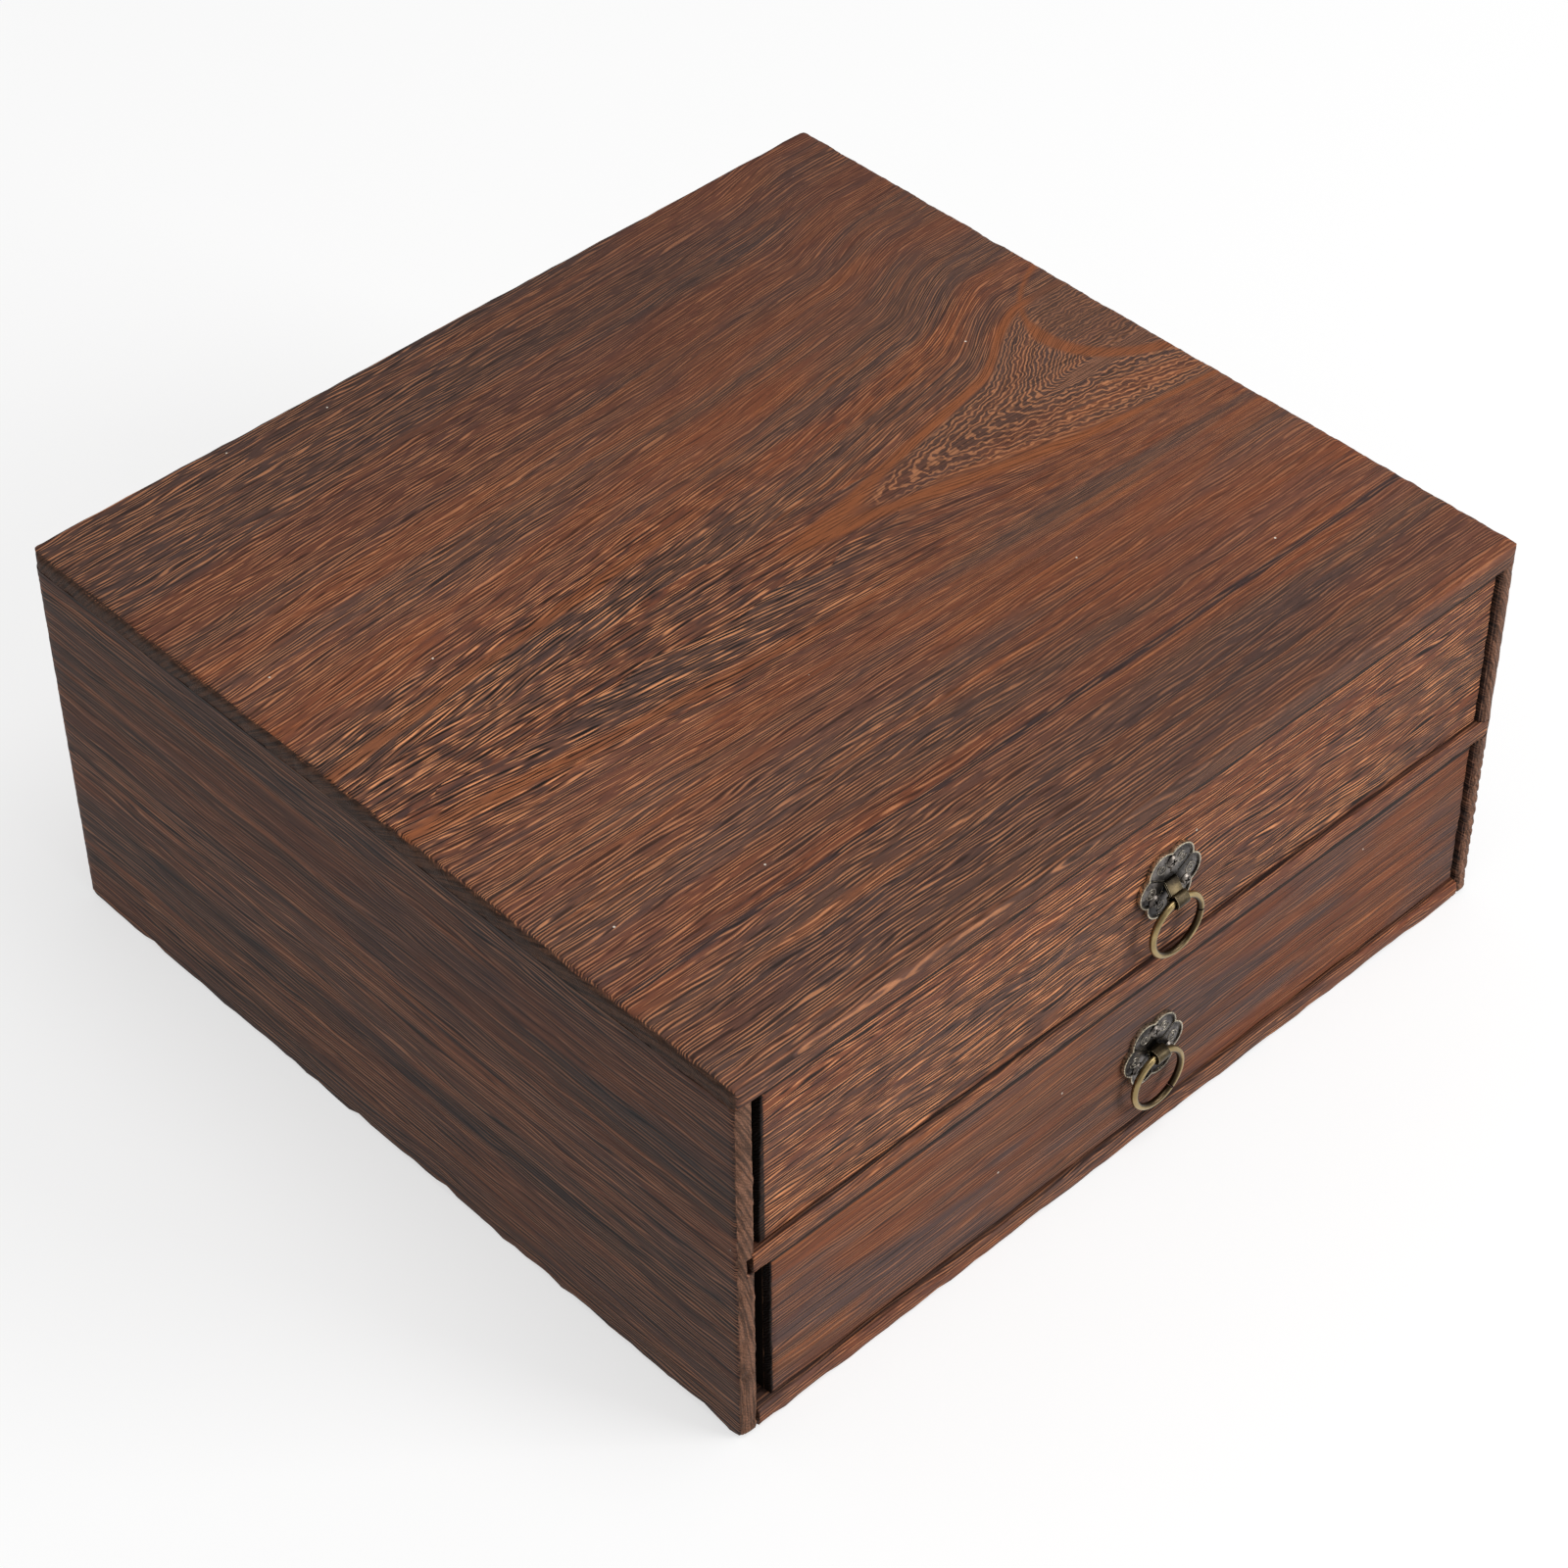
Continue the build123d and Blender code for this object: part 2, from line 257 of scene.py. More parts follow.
def topRings(u, v):  # nested arches with their tips to the left, as in a board cut near the tree's heart
    fig = topFigure
    offset = v - fig["middle"]
    spread = root(offset * offset + fig["tipRound"] ** 2) - fig["tipRound"]
    early = atMost(u, fig["tip"]) * fig["earlyTaper"]
    past = atLeast(u, fig["tip"]) - fig["tip"]
    lowTaper = early + past * fig["lowTaper"]
    highTaper = early + atMost(past, fig["highEnd"]) * fig["highTaper"]
    highTaper = highTaper + smooth(u, *fig["bulgeRange"]) * fig["bulge"]
    lowShare = smooth(offset, *fig["lowFade"])
    most, fading = fig["highShares"]
    highShare = most - atMost(atLeast(offset * fig["highFade"], 0.0), fading)
    upper = smooth(offset, -fig["turnOver"], fig["turnOver"])
    return spread - (lowTaper * lowShare * (1 - upper) + highTaper * highShare * upper)


def topLie(across, rings, jitter):  # the fine grain runs straight along the arches' middle
    offset = across - topFigure["middle"]
    outside = abs(offset) + jitter * topFigure["straightJag"]
    outside = outside.maths("GREATER_THAN", topFigure["straightHalf"])
    return rings * outside + (offset + topFigure["straightShift"]) * (1 - outside)


def plainRings(u, v):
    return v


def topBusy(rings, along):  # the mottled part of the top is inside the outer arches
    outside = 0.34 - smooth(along, 60, 160) * 0.12
    inside = 1 - smooth(rings, *topFigure["busyRings"])
    return inside * (0.66 - smooth(along, 90, 160) * 0.24) + outside


# These give a board's brightness and the strength of its threads
def topShade(along, across):  # duller in the middle and to the back, with fainter threads to the right; the brighter left end, with its stronger threads, is partly a painted sheen
    level = 1.03 - smooth(along, 40, 95) * 0.1 + smooth(along, 175, 230) * 0.1
    return level - smooth(across, 140, 200) * 0.04, 1 - smooth(along, 90, 160) * 0.4


def sideShade(along, across):  # darker above the middle, with a lighter strip below it; its low level overall is partly the side's own tone and partly painted shade of the side that faces away from the lamps
    level = 0.75 - ridge(across, 82, 26) * 0.06 + ridge(across, 54, 14) * 0.04
    return level + smooth(along, 190, 236) * 0.03, 1.0 - ridge(across, 80, 22) * 0.3


def frontShade(along, across):
    return 1.16 - smooth(along, 100, 165) * 0.12, 1.0


def lowFrontShade(along, across):
    return 1.06 - smooth(along, 90, 165) * 0.13, 1.0


def topAccents(colour, dark, bright, rings, along, across):  # arms, loop, curls and long dark lines
    fig = topFigure
    armMiddle = fig["armInner"] + fig["armWidth"] / 2
    arm = ridge(rings, armMiddle, fig["armWidth"] * 0.62) * smooth(along, *fig["armStart"])
    outer = ridge(rings, fig["outerBand"], fig["outerWidth"]) * (1 - smooth(along, *fig["outerEnd"])) * 0.8
    loopU = (along - fig["loopPlace"][0]) / fig["loopSize"][0]
    loopV = (across - fig["loopPlace"][1]) / fig["loopSize"][1]
    loopSpread = root(loopU * loopU + loopV * loopV)
    thin = smooth(across, *fig["loopThin"]) * 0.045
    loop = 1 - smooth(abs(loopSpread - 1) + thin, fig["loopBand"] * 0.4, fig["loopBand"])
    pale = arm.maths("MAXIMUM", outer).maths("MAXIMUM", loop)
    heart = 1 - smooth(loopSpread, *fig["heart"])
    colour = blend(pale * 0.65, colour, woodTones["amber"])
    colour = blend(heart * 0.7, colour, woodTones["greyBrown"])

    inside = 1 - smooth(rings, fig["armInner"] - 1.5, fig["armInner"] + 0.5)
    inside = inside * smooth(along, *fig["curlStart"])
    wander = noiseAt(along / 4.5, across / 3.5, 5.5, 1.0)
    tangle = noiseAt(along / 2.2, across / 1.6, 8.1, 1.0)
    phase = rings / fig["curlPitch"] + wander * 2.4 + tangle * 1.2
    curls = (phase * math.tau).maths("SINE") * 0.5 + 0.5
    curlDark = (1 - smooth(curls, 0.1, 0.6)) * 0.22
    curlBright = smooth(curls, 0.5, 0.95) * 0.4
    curlShare = inside * (1 - pale) * (1 - heart * 0.5)
    dark = (dark * (1 - pale) * (1 - inside * 0.75)).maths("MAXIMUM", curlDark * curlShare)
    bright = bright * (1 - pale * 0.85) * (1 - inside) + curlBright * curlShare

    frontHalf = 1 - smooth(across, *fig["frontHalf"])
    frontLine = ridge(rings, fig["frontLine"], 1.5) * frontHalf * 0.85
    frontZone = ridge(across, *fig["frontZone"]) * frontHalf * 0.45
    backZone = smooth(across, *fig["backZone"]) * 0.46
    dark = dark.maths("MAXIMUM", frontLine).maths("MAXIMUM", frontZone).maths("MAXIMUM", backZone)
    return colour, dark, bright


def grainPatterns(along, across, through, board):
    seed = board["seed"]
    sway = noiseAt(along / 110, across / 45, seed, 1.0) - 0.5
    ripple = noiseAt(along / board["rippleLength"], across / 8, seed + 3.1, 1.0) - 0.5
    rings = board["rings"](along, across) + (sway * board["sway"] + ripple * board["ripple"])
    lie = board["lie"](across, rings, ripple) if board["lie"] else rings
    depth = across * 0.05 + seed

    def grain(length, width, key, detail, rough):
        layer = depth + through / (width * 1.3) + key
        return noiseAt(along / length, lie / width, layer, detail, rough)

    patterns = {name: grain(*settings) for name, settings in grainNoises.items()}
    pitch = board["threadPitch"]
    drift = grain(24, pitch * 2.8, 21.3, 1.0, 0.5)
    strands = grain(board["threadLength"], pitch, 24.9, 1.0, 0.5)
    wave = (((lie + through) / pitch + drift * board["threadDrift"]) * math.tau).maths("SINE")
    patterns["threads"] = wave * smooth(strands, *grainShows["strands"]) * 0.5 + 0.5
    return patterns | {"rings": rings, "ripple": ripple}


def woodColour(along, across, grain, board):
    shows = grainShows
    bands = grain["bands"]
    busy = board["busy"](grain["rings"], along) if board["busy"] else board["mottle"]
    level, thready = board["shade"](along, across) if board["shade"] else (board["tone"], 1.0)

    # slow changes of colour along and across the grain
    colour = blend(smooth(grain["zones"], *shows["zones"]), woodTones["greyBrown"], woodTones["redBrown"])
    colour = blend(smooth(bands, *shows["bands"]) * board["light"], colour, woodTones["lightBrown"])
    amber = smooth(bands + grain["clusters"] * 0.5, *shows["amber"]) * board["amber"]
    colour = blend(amber, colour, woodTones["amber"])
    colour = blend(smooth(grain["smoke"], *shows["smoke"]) * board["smoke"], colour, woodTones["smoky"])

    # dark mottles, dark lines, and thin bright threads with grooves between them
    patchy = smooth(grain["clusters"], *shows["patches"])
    dark = smooth(grain["mottle"], *shows["mottle"]) * busy * (patchy * 0.25 + 0.45)
    darkLines = smooth(grain["lines"] - bands * 0.5, *shows["darkLines"]) * board["lines"]
    dark = dark.maths("MAXIMUM", darkLines)
    clear = 1 - smooth(grain["mottle"], *shows["clear"]) * busy * 0.8
    bright = smooth(grain["threads"], *shows["bright"]) * (patchy * 0.2 + 0.8) * (0.3 + busy * 0.7)
    bright = bright * clear * board["flecks"] * thready
    if board["accents"]:
        colour, dark, bright = board["accents"](colour, dark, bright, grain["rings"], along, across)
    colour = blend(dark, colour, woodTones["charred"])
    colour = blend(bright, colour, woodTones["tan"])
    grooves = 1 - smooth(grain["threads"], *shows["grooves"])
    tone = 1.0 - grooves * board["grooves"] * (0.5 + busy * 0.5) * thready
    tone = tone * (0.75 + grain["fibres"] * 0.5) * (1 + (bands - 0.5) * board["streaks"]) * level
    inputs = {"Color": darken(colour, tone), "Saturation": board["saturation"], "Value": 1.0}
    return addNode(tone.tree, "HueSaturation", inputs).outputs[0]


def paintShadeAndScorch(node, board, along, across, ripple, normal):  # dark ledges, inner faces and outlines: painted shade in the gaps, the recesses and under the top's overhang, with some scorch on the edges
    look = shadeAndScorchLook
    shadeAndScorchMask = smooth(across, *look["ledgeStart"]) * (1 - smooth(across, *look["ledgeEnd"]))
    shadeAndScorchMask = shadeAndScorchMask * board["ledge"] * smooth(normal[2], *look["facingUp"])
    inward = smooth(normal[0] * board["inward"], *look["facingIn"]) * look["insideShade"]
    shadeAndScorchMask = shadeAndScorchMask.maths("MAXIMUM", inward)
    if board["outlineShadeAndScorch"]:
        low, high = (Vector(limit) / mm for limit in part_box(node))
        grainAxis, acrossAxis = board["axes"][:2]
        alongShift, acrossShift = board["shift"]
        jag = ripple * look["jag"]
        toRight = high[grainAxis] + alongShift - along
        distances = {
            "high": high[acrossAxis] + acrossShift - across + jag,
            "low": across - (low[acrossAxis] + acrossShift) + jag,
            "end": toRight.maths("MINIMUM", along - (low[grainAxis] + alongShift)),
        }
        for side, distance in distances.items():
            width = board["outlineShadeAndScorch"][side]
            shadeAndScorchMask = shadeAndScorchMask.maths("MAXIMUM", 1 - smooth(distance, width * look["fullShare"][side], width))
        shadeAndScorchMask = shadeAndScorchMask * board["outlineShadeAndScorch"]["depth"]
    return shadeAndScorchMask


def endGrainColour(across, through, board):  # curved rings and open pores
    look = endGrainLook
    arc = across / look["arcRadius"]
    arcDepth = (arc * arc * look["arcRise"] + through) / look["arcPitch"]
    arcs = noiseAt(arcDepth, across / look["arcLength"], board["seed"], 3.0)
    pores = noiseAt(across / look["poreWidth"], through / look["poreHeight"], board["seed"], 1.0)
    tone = (0.35 + smooth(arcs, *grainShows["arcs"]) * 0.65) * (0.2 + pores * 1.3)
    return darken(woodTones["endGrain"], tone * board["endTone"])


def woodMaterial(node, board):
    material, tree = newMaterial(node + "_wood")
    spot = coordinates(tree, "Object")
    normal = coordinates(tree, "Normal")
    along, across, through = (spot[i] / mm for i in board["axes"])
    along = along + board["shift"][0]
    across = across + board["shift"][1]
    grain = grainPatterns(along, across, through, board)
    colour = woodColour(along, across, grain, board)
    # painted shade in the gaps, recesses and under the overhang, with some scorch on the edges
    shadeAndScorchMask = paintShadeAndScorch(node, board, along, across, grain["ripple"], normal)
    colour = blend(shadeAndScorchMask, colour, woodTones["scorchAndShade"])
    facingEnd = smooth(abs(normal[board["axes"][0]]), *endGrainLook["facing"])
    colour = blend(facingEnd, colour, endGrainColour(across, through, board))

    point = addNode(tree, "CombineXYZ", {0: along, 1: across, 2: through}).outputs[0]
    specks = addNode(tree, "TexVoronoi", {"Vector": point, "Scale": dustLook["perMm"], "Randomness": 1.0})
    speck = Wire(tree, specks.outputs["Distance"]).maths("LESS_THAN", dustLook["size"])
    colour = blend(speck * dustLook["strength"], colour, woodTones["dust"])

    height = grain["threads"] + grain["lines"] * 0.4
    bump = addNode(tree, "Bump", {"Strength": board["bump"], "Distance": 0.22 * mm, "Height": height})
    rough = board["rough"] + grain["lines"] * 0.15
    inputs = {"Base Color": colour, "Normal": bump.outputs[0], "Roughness": rough}
    shader = addNode(tree, "BsdfPrincipled", inputs)
    shader.inputs["Specular IOR Level"].default_value = board["gloss"]
    addNode(tree, "OutputMaterial", {0: shader.outputs[0]})
    return material


# Boards with brushed relief and worn edges
def bumps(x, y, z):
    return noise.noise(Vector((x, y, z)))


def wornDepth(u, v, through, near, facing, board):  # how far a point lies inside the CAD board, in mm
    seed = board["seed"]
    ring = board["rings"](u, v)
    fine = bumps(u / 35, ring / 0.9, seed)
    wide = bumps(u / 90, ring / 3.1, seed + 7)
    depth = board["relief"] * max(0.25 + 0.55 * fine + 0.6 * wide, 0.0)
    if sum(min(pair) < board["edgeBand"] for pair in near) >= 2:
        chip = bumps(u / board["chipLength"], v / board["chipLength"], through / 6 + seed)
        small = bumps(u / 2.6, v / 1.6, seed + 3)
        depth += board["edgeWear"] * max(0.1 + 1.2 * abs(chip) + 0.5 * small, 0.0)
    if abs(facing) > board["endFacing"]:
        amount = board["endRelief"][1 if facing > 0 else 0]
        lobes = 1 - abs(bumps(v / board["endWave"], through / 9, seed + 11)) * 3.2
        grit = bumps(v / 1.3, through / 3, seed + 15)
        depth += abs(facing) * amount * (max(lobes, 0.0) + 0.25 * max(grit, 0.0))
    notches = board["notches"]
    if notches and near[0][0] < notches["reach"]:
        spot = v + notches["wander"] * bumps(v / 9, seed, 0)
        crease = 1 - abs(math.sin(math.pi * spot / notches["spacing"]))
        depth += notches["depth"] * (1 - smooth(v, *notches["fade"])) * crease ** 2
    return depth


def roundCorners(spot, board, low, high):  # moves a point near a corner onto an arc
    for sides, radius in board["corners"]:
        insets = []
        for axis, side in sides:
            inset = high[axis] - spot[axis] if side > 0 else spot[axis] - low[axis]
            insets.append(inset / mm)
        if max(insets) >= radius:
            continue
        reach = math.hypot(*(radius - inset for inset in insets))
        if reach > radius:
            for (axis, side), inset in zip(sides, insets):
                spot[axis] -= side * (radius - inset) * (1 - radius / reach) * mm


def mergedCopy(node):
    bm = bmesh.new()
    bm.from_mesh(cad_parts[node].data)
    bmesh.ops.remove_doubles(bm, verts=bm.verts, dist=0.001 * mm)
    bmesh.ops.dissolve_limit(bm, angle_limit=math.radians(0.5), verts=bm.verts, edges=bm.edges)
    return bm


def triangulateLarge(bm):
    bmesh.ops.triangulate(bm, faces=[f for f in bm.faces if len(f.verts) > 4])


def newPiece(name, bm, materials, sharpAngle):
    mesh = bpy.data.meshes.new(name)
    bm.to_mesh(mesh)
    bm.free()
    mesh.shade_smooth()
    mesh.set_sharp_from_angle(angle=math.radians(sharpAngle))
    for material in materials:
        mesh.materials.append(material)
    return addObject(name, mesh)


def cutAcross(bm, low, high, board):  # so many cuts that the relief has points to move
    for axis, pitch in zip(board["axes"], board["pitches"]):
        span = high[axis] - low[axis]
        count = max(round(span / (pitch * mm)), 1)
        cuts = [low[axis] + span * i / count for i in range(1, count)]
        if axis == board["axes"][0]:
            ends = (low[axis], high[axis] - board["endBand"] * mm)
            cuts += [end + step * mm for step in board["endCuts"] for end in ends]
        direction = Vector([float(i == axis) for i in range(3)])
        for cut in cuts:
            bmesh.ops.bisect_plane(
                bm, geom=bm.verts[:] + bm.edges[:] + bm.faces[:], dist=0.0005 * mm,
                plane_co=direction * cut, plane_no=direction,
            )


def wornMove(vert, low, high, board):
    grainAxis, acrossAxis = board["axes"][:2]
    u, v, through = (vert.co[i] / mm for i in board["axes"])
    u += board["shift"][0]
    v += board["shift"][1]
    near = []
    for axis in board["axes"]:
        below = math.inf if (axis, -1) in board["joined"] else (vert.co[axis] - low[axis]) / mm
        above = math.inf if (axis, 1) in board["joined"] else (high[axis] - vert.co[axis]) / mm
        near.append((below, above))
    depth = wornDepth(u, v, through, near, vert.normal[grainAxis], board)
    move = vert.normal * (-depth * mm)
    fromEnd = (vert.co[grainAxis] - low[grainAxis]) / mm
    fromTop = (high[acrossAxis] - vert.co[acrossAxis]) / (high[acrossAxis] - low[acrossAxis])
    move[grainAxis] -= board["slant"] * mm * (1 - smooth(fromEnd, 0, board["slantReach"])) * fromTop
    rise = board["scallops"] * max(0.1 + 1.9 * bumps(u / board["scallopLength"], board["seed"], 5), 0.0)
    move[acrossAxis] += rise * mm * (1 - smooth(v, 0.0, board["scallopReach"]))
    return move


def brushedBoard(node, body, board):
    bm = mergedCopy(node)
    low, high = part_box(node)
    cutAcross(bm, low, high, board)
    bm.normal_update()
    moves = [wornMove(vert, low, high, board) for vert in bm.verts]
    for vert, move in zip(bm.verts, moves):
        roundCorners(vert.co, board, low, high)
        vert.co += move
    triangulateLarge(bm)
    piece = newPiece(node + "_brushed", bm, [woodMaterial(node, board)], board["sharpAngle"])
    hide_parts(node)
    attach(piece, body)
    print("board", node, len(piece.data.polygons), "faces")


boardBase = {
    "axes": (0, 1, 2),  # along the grain, across it, through the board
    "shift": (125.0, 120.0),  # so that the pattern starts at a corner
    "rings": plainRings,
    "lie": None,
    "seed": 0.0,
    "sway": 6.0,
    "ripple": 1.2,
    "rippleLength": 24,
    "light": 0.45,
    "amber": 0.35,
    "busy": None,
    "mottle": 0.45,
    "accents": None,
    "shade": None,
    "lines": 0.45,
    "streaks": 0.35,
    "smoke": 0.3,
    "threadLength": 9.0,
    "threadPitch": 0.92,
    "threadDrift": 3.0,
    "saturation": 1.0,
    "flecks": 0.8,
    "grooves": 0.75,
    "tone": 1.1,
    "endTone": 1.0,
    "bump": 0.5,
    "rough": 0.58,
    "gloss": 0.22,
    "outlineShadeAndScorch": None,  # widths of the dark outline, and its darkness: painted shade under the overhang and in the gaps, with some scorch on the edges
    "ledge": 0.0,  # darkness of the upper face just behind the front, painted as shade in the recess, with dirt
    "inward": 0,  # which way along X the face towards the drawers looks; that face is painted dark, as shade in the gap
    "pitches": (4.0, 0.75, 1.4),  # of the cuts, in the order of the axes
    "endCuts": (1.0, 2.2),
    "endBand": 3.0,  # the far end's cuts are measured from this far before it
    "relief": 0.16,
    "edgeBand": 1.0,
    "edgeWear": 0.3,
    "chipLength": 11.0,
    "endRelief": (0.2, 0.5),  # grooves in the end grain at the low and the high end
    "endWave": 7.0,
    "endFacing": 0.3,  # how much a point has to look along the grain to be end grain
    "corners": (),  # two sides, each an axis and a direction, and the radius between them
    "joined": (),  # edges held by another board, as axis and side, which get no wear
    "notches": None,
    "scallops": 0.0,  # how far the lower edge is worn upwards
    "scallopLength": 8.0,
    "scallopReach": 4.0,
    "slant": 0.0,  # how far the low end leans out at the bottom
    "slantReach": 15.0,
    "sharpAngle": 38,
}
lowCorners = ((((1, -1), (2, -1)), 1.6), (((1, 1), (2, -1)), 5.5))
leftCorners = lowCorners + ((((1, 1), (0, -1)), 4.0),)
rightCorners = lowCorners + ((((1, -1), (0, 1)), 3.2), (((1, 1), (0, 1)), 4.5))
topCorners = (
    (((0, -1), (1, -1)), 1.5),
    (((0, 1), (1, -1)), 3.2),
    (((0, -1), (1, 1)), 4.6),
    (((0, 1), (1, 1)), 4.6),
    (((0, -1), (2, 1)), 1.5),
    (((0, 1), (2, 1)), 1.5),
    (((1, -1), (2, 1)), 1.2),
    (((1, 1), (2, 1)), 1.5),
)
topGrain = {
    "rings": topRings,
    "lie": topLie,
    "busy": topBusy,
    "accents": topAccents,
    "shade": topShade,
    "sway": 2.5,
    "flecks": 1.0,
    "grooves": 0.9,
    "corners": topCorners,
    "joined": ((2, -1),),
    "seed": 2.4,
}
sideGrain = {
    "axes": (1, 2, 0),
    "shift": (120.0, 0.0),
    "shade": sideShade,
    "flecks": 1.3,
    "grooves": 1.3,
    "mottle": 0.18,
    "lines": 0.9,
    "light": 0.9,
    "amber": 0.6,
    "smoke": 0.55,
    "streaks": 1.3,
    "ripple": 0.7,
    "threadPitch": 1.05,
    "threadLength": 42.0,
    # greyer than the top: partly its own tone, partly painted shade
    "saturation": 0.88,
    "endTone": 2.2,
    "edgeWear": 0.9,
    "endRelief": (0.35, 0.6),
    "endWave": 6.0,
    "joined": ((2, 1),),
    "scallops": 1.3,
    # a dark outline, partly scorch and partly painted shade at the joints
    "outlineShadeAndScorch": {"high": 0.45, "low": 1.2, "end": 0.5, "depth": 0.5},
}
leftSide = {"seed": 14.2, "corners": leftCorners, "inward": 1}
rightSide = {
    "seed": 31.9,
    "corners": rightCorners,
    "inward": -1,
    "endRelief": (0.15, 0.6),
    "edgeWear": 0.3,
    "notches": {"spacing": 3.6, "depth": 0.8, "fade": (40, 50), "reach": 3.0, "wander": 2.2},
}
frontGrain = {
    "axes": (0, 2, 1),
    "shift": (125.0, 0.0),
    # the end grain is painted nearly black: char, and painted shade in the gaps beside the case sides
    "endTone": 0.1,
    "threadPitch": 1.0,
    "flecks": 1.15,
    "grooves": 1.05,
    "shade": frontShade,
    "streaks": 0.5,
    # a dark outline, widest along the top: painted shade under the top's overhang and in the gaps, with
    # some scorch on the edges
    "outlineShadeAndScorch": {"high": 3.1, "low": 0.6, "end": 0.8, "depth": 0.92},
}
upperFront = {"seed": 73.6, "ripple": 2.8, "mottle": 0.7, "slant": 1.2}
lowerFront = {
    "seed": 88.3,
    "shade": lowFrontShade,
    "flecks": 0.7,
    "grooves": 0.8,
    "mottle": 0.15,
    "ripple": 0.6,
    "smoke": 0.8,
    "streaks": 1.0,
    "threadPitch": 0.95,
    "threadLength": 36.0,
}
# the strip behind the front edge is painted dark: shade in the recess under the drawer fronts, with dirt
crossBoard = {"pitches": (4.0, 2.0, 1.4), "joined": ((0, -1), (0, 1)), "ledge": 0.6}
boards = {
    "case_top": ("case", topGrain),
    "case_left_side": ("case", sideGrain | leftSide),
    "case_right_side": ("case", sideGrain | rightSide),
    "case_bottom": ("case", crossBoard | {"seed": 44.5, "edgeWear": 0.5}),
    "shelf": ("case", crossBoard | {"seed": 52.8}),
    "back_panel": ("case", frontGrain | {"seed": 66.1, "outlineShadeAndScorch": None}),
    "upper_drawer_front": ("upper_drawer", frontGrain | upperFront),
    "lower_drawer_front": ("lower_drawer", frontGrain | lowerFront),
}
for node, (body, changes) in boards.items():
    brushedBoard(node, body, boardBase | changes)


# Plain wood inside
insideWood = {
    "colour": shade(122, 88, 64),
    "dowelColour": shade(190, 154, 112),
    "gapShadeTone": 0.04,  # outer faces of the drawer walls near the front, painted dark as shade in the gap beside the case, with some scorch
    "hiddenRise": 0.35,  # how much lighter they are further back
    "hiddenFade": (-112.0, -70.0),  # where along Y they get lighter
    "hiddenFacing": (0.5, 0.8),
    "bands": (0.4, 0.62),
    "rough": 0.7,
    "gloss": 0.25,
}


def plainWood(name, grainAxis, colour, seed, hiddenSide=0):
    look = insideWood
    material, tree = newMaterial(name)
    spot = coordinates(tree, "Object")
    order = [grainAxis] + [i for i in range(3) if i != grainAxis]
    along, across, through = (spot[i] / mm for i in order)
    bands = noiseAt(along / 120, across / 4, through / 4 + seed, 3.0)
    fibres = noiseAt(along / 8, across / 0.3, through / 0.3 + seed, 1.0)
    tone = (0.78 + smooth(bands, *look["bands"]) * 0.22) * (0.86 + fibres * 0.28)
    if hiddenSide:
        facing = coordinates(tree, "Normal")[0] * hiddenSide
        # painted shade in the gap between drawer and case, darkest near the front
        scorchAndShade = 1 - look["gapShadeTone"] - smooth(along, *look["hiddenFade"]) * look["hiddenRise"]
        tone = tone * (1 - smooth(facing, *look["hiddenFacing"]) * scorchAndShade)
    bump = addNode(tree, "Bump", {"Strength": 0.25, "Distance": 0.1 * mm, "Height": fibres})
    inputs = {"Base Color": darken(colour, tone), "Roughness": look["rough"], "Normal": bump.outputs[0]}
    shader = addNode(tree, "BsdfPrincipled", inputs)
    shader.inputs["Specular IOR Level"].default_value = look["gloss"]
    addNode(tree, "OutputMaterial", {0: shader.outputs[0]})
    return material


def repaint(node, material):
    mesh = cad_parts[node].data
    mesh.materials.clear()
    mesh.materials.append(material)


insideAlongX = plainWood("inside_wood_along_x", 0, insideWood["colour"], 3.0)
insideLeft = plainWood("inside_wood_left", 1, insideWood["colour"], 8.0, hiddenSide=-1)
insideRight = plainWood("inside_wood_right", 1, insideWood["colour"], 8.0, hiddenSide=1)
for drawer in ("upper", "lower"):
    repaint(drawer + "_drawer_left_wall", insideLeft)
    repaint(drawer + "_drawer_right_wall", insideRight)
    repaint(drawer + "_drawer_back", insideAlongX)
    repaint(drawer + "_drawer_bottom", insideAlongX)
repaint("case_dowels", plainWood("dowel_wood", 0, insideWood["dowelColour"], 5.0))


# Brass
brasses = {  # wear widens the worn places, which on the bevelled edges also carry a painted highlight
    "ring": {
        # the ring's bright colour makes its painted highlight, along with wear; its patina is left on the
        # back and inside as painted shade
        "bright": shade(172, 150, 106),
        "patina": shade(66, 55, 40),
        "deep": shade(10, 9, 8),
        "rough": 0.3,
    },
    "strap": {
        "bright": shade(98, 86, 64),
        "patina": shade(62, 54, 42),
        "deep": shade(26, 23, 20),
        "rough": 0.42,
    },
    "plate": {
        "bright": shade(130, 124, 120),
        "patina": shade(48, 45, 44),
        # rim: painted highlight along the petals' outline
        "rim": shade(214, 202, 176),
        "deep": shade(30, 27, 26),
        "rough": 0.34,
    },
    "swirl": {"bright": shade(168, 160, 146), "patina": shade(112, 106, 98), "rough": 0.34},
    "screw": {
        "bright": shade(142, 134, 126),
        "patina": shade(84, 78, 74),
        "deep": shade(20, 18, 17),
        "rough": 0.36,
    },
    # bevelled edges: worn, with a painted highlight
    "wearAndHighlight": {"bright": shade(205, 190, 158), "patina": shade(150, 136, 110), "wear": 0.06, "rough": 0.3},
}
